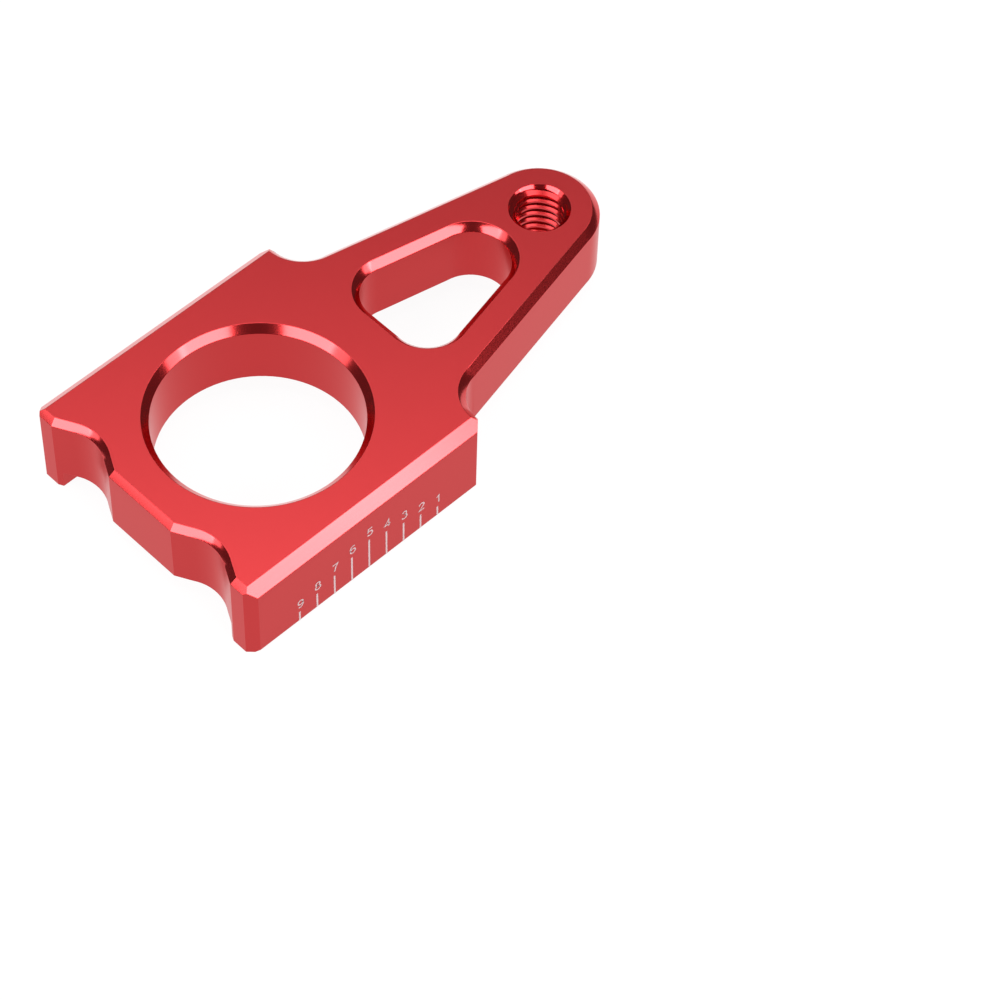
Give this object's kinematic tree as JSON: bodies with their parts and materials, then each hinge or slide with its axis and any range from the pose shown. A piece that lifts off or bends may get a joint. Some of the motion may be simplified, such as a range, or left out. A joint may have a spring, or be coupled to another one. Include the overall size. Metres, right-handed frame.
{
  "type": "motorcycle chain adjuster block",
  "caption": "Machined chain adjuster block with a big axle bore, side rails, a tapered lug with a threaded hole, a lightening window and a notched end.",
  "frame": {"origin": "on the axle bore's axis, at the plate's face that lies on the swingarm", "axes": "+X from the axle bore to the threaded hole, +Y across the block away from the scale, +Z along the bore's axis, out of the face with the chamfered edges"},
  "size_m": [0.0778, 0.0408, 0.013],
  "materials": {
    "anodised_red": "satin red anodised, bright cut chamfers"
  },
  "bodies": {
    "root": {"axle_block": "anodised_red"}
  },
  "joints": []
}
